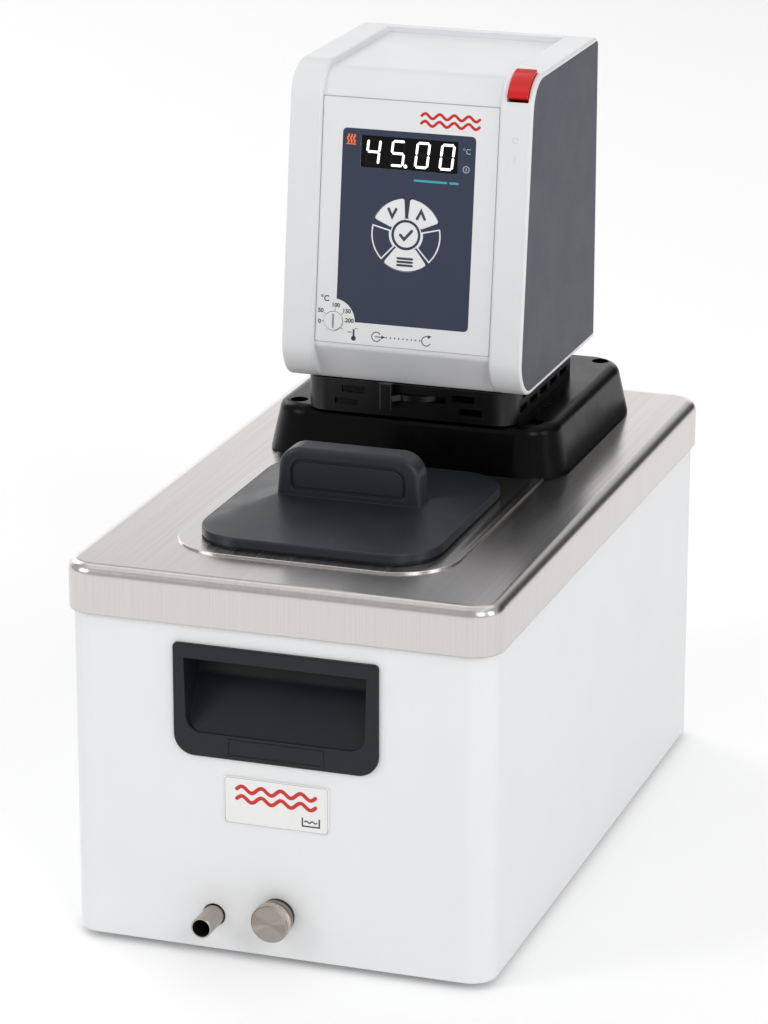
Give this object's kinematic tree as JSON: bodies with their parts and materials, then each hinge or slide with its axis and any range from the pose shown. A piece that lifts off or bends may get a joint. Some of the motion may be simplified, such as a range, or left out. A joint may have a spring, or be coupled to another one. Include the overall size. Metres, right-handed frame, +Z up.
{
  "type": "water bath",
  "caption": "Benchtop heating circulator: stainless bath with lid in a painted casing, drain tube and valve knob in front, tilted control head on a black bridge over the rear.",
  "frame": {"origin": "centre of the overall footprint, on the surface that the feet stand on", "axes": "+Z up, -Y towards the user (drain tube, grip and control panel), +X to the user's right"},
  "size_m": [0.23, 0.41, 0.4221],
  "materials": {
    "badge_white": "white plate, satin",
    "base_black": "black moulded plastic, satin",
    "bearing_steel": "ground steel",
    "board_green": "circuit board",
    "brass": "turned brass",
    "bridge_black": "black moulded plastic, semi-gloss",
    "brushed_cover": "brushed stainless steel, satin",
    "dial_white": "white moulded dial",
    "fan_grey": "moulded fan",
    "float_steel": "hollow stainless float",
    "foam_grey": "closed-cell foam",
    "grip_plastic": "dark blue-grey moulded plastic, fine grain",
    "head_white": "light grey-white moulded plastic, satin",
    "hose_silicone": "silicone hose",
    "inlet_black": "black moulded inlet",
    "key_white": "printed membrane key",
    "knob_steel": "turned stainless steel, knurled",
    "label_white": "printed polyester foil",
    "lid_plastic": "dark blue-grey moulded plastic, fine grain",
    "module_black": "black moulding",
    "motor_black": "black painted motor can",
    "motor_core": "laminated core",
    "panel_grey": "dark grey plastic, fine spark-eroded grain",
    "port_steel": "turned stainless steel",
    "powder_white": "fine orange-peel powder coat",
    "pump_plastic": "black engineering plastic",
    "pump_steel": "stainless steel",
    "rubber_black": "matt rubber",
    "satin_rim": "satin stainless steel with bright edges",
    "screw_steel": "bright screws",
    "switch_red": "glossy red moulding",
    "tank_steel": "deep-drawn stainless steel",
    "tube_steel": "satin drawn tube",
    "window_black": "dark display window",
    "zinc_steel": "zinc-plated sheet"
  },
  "bodies": {
    "housing": {"base_plate": "zinc_steel", "bath_rim": "satin_rim", "bath_tank": "tank_steel", "board_posts": "brass", "bridge": "bridge_black", "bridge_gasket": "rubber_black", "bridge_screws": "screw_steel", "casing": "powder_white", "control_board": "board_green", "cover_brackets": "zinc_steel", "cutout_thermostat": "module_black", "display_module": "module_black", "display_window": "window_black", "drain_pipe": "hose_silicone", "drain_tube": "tube_steel", "drain_valve_body": "brass", "feet": "rubber_black", "float_stem": "pump_steel", "foot_screws": "screw_steel", "front_grip": "grip_plastic", "front_label": "label_white", "head_base": "base_black", "head_housing": "head_white", "heater_coil": "pump_steel", "knob_ring": "rubber_black", "mains_inlet": "inlet_black", "motor_bearings": "bearing_steel", "motor_bracket": "zinc_steel", "motor_stator": "motor_black", "name_badge": "badge_white", "power_board": "board_green", "pump_columns": "pump_steel", "pump_cover": "pump_plastic", "pump_housing": "pump_plastic", "pump_pipes": "pump_steel", "pump_ports": "port_steel", "rear_grip": "grip_plastic", "rear_panel": "head_white", "side_panel_left": "panel_grey", "side_panel_right": "panel_grey", "switch_body": "module_black", "tank_insulation": "foam_grey", "temperature_probes": "pump_steel", "top_cover": "brushed_cover", "unit_plate": "pump_steel"},
    "lid": {"lid": "lid_plastic"},
    "mains_switch": {"mains_switch": "switch_red"},
    "key_up": {"key_up": "key_white"},
    "key_down": {"key_down": "key_white"},
    "key_confirm": {"key_confirm": "key_white"},
    "key_menu": {"key_menu": "key_white"},
    "cutout_dial": {"cutout_dial": "dial_white"},
    "circulation_lever": {"circulation_lever": "base_black"},
    "drain_knob": {"drain_knob": "knob_steel"},
    "valve_plug": {"valve_plug": "pump_plastic"},
    "pump_rotor": {"motor_rotor": "motor_core", "drive_shaft": "bearing_steel", "impeller": "pump_plastic", "cooling_fan": "fan_grey"},
    "level_float": {"level_float": "float_steel"}
  },
  "joints": [
    {"name": "lid_lift", "type": "slide", "parent": "housing", "child": "lid", "axis": [0, 0, 1], "range_m": [0, 0.06]},
    {"name": "mains_switch_rock", "type": "hinge", "parent": "housing", "child": "mains_switch", "pos_m": [0.0585, 0.03794, 0.40577], "axis": [1, 0, 0], "range_deg": [0, 5]},
    {"name": "key_up_press", "type": "slide", "parent": "housing", "child": "key_up", "axis": [0, 0.9921, -0.1253], "range_m": [0, 0.00035], "stiffness_N_per_m": 1500, "springref_m": -0.0002},
    {"name": "key_down_press", "type": "slide", "parent": "housing", "child": "key_down", "axis": [0, 0.9921, -0.1253], "range_m": [0, 0.00035], "stiffness_N_per_m": 1500, "springref_m": -0.0002},
    {"name": "key_confirm_press", "type": "slide", "parent": "housing", "child": "key_confirm", "axis": [0, 0.9921, -0.1253], "range_m": [0, 0.00035], "stiffness_N_per_m": 1500, "springref_m": -0.0002},
    {"name": "key_menu_press", "type": "slide", "parent": "housing", "child": "key_menu", "axis": [0, 0.9921, -0.1253], "range_m": [0, 0.00035], "stiffness_N_per_m": 1500, "springref_m": -0.0002},
    {"name": "cutout_dial_turn", "type": "hinge", "parent": "housing", "child": "cutout_dial", "pos_m": [-0.0386, 0.00925, 0.28507], "axis": [0, 0.9921, -0.1253], "range_deg": [-180, 90]},
    {"name": "circulation_lever_turn", "type": "hinge", "parent": "housing", "child": "circulation_lever", "pos_m": [0.003, 0.032, 0.25], "axis": [0, 0, 1], "range_deg": [0, 74]},
    {"name": "drain_knob_turn", "type": "hinge", "parent": "housing", "child": "drain_knob", "pos_m": [0, -0.19, 0.027], "axis": [0, -1, 0], "range_deg": [0, 1080]},
    {"name": "valve_plug_draw", "type": "slide", "parent": "housing", "child": "valve_plug", "axis": [0, -1, 0], "range_m": [0, 0.004]},
    {"name": "pump_rotor_spin", "type": "hinge", "parent": "housing", "child": "pump_rotor", "pos_m": [0, 0.056, 0.2], "axis": [0, 0, 1], "continuous": true},
    {"name": "float_rise", "type": "slide", "parent": "housing", "child": "level_float", "axis": [0, 0, 1], "range_m": [0, 0.01]}
  ],
  "couplings": [
    {"joint": "valve_plug_draw", "follows": "drain_knob_turn", "m_per_rad": 0.00021221}
  ]
}
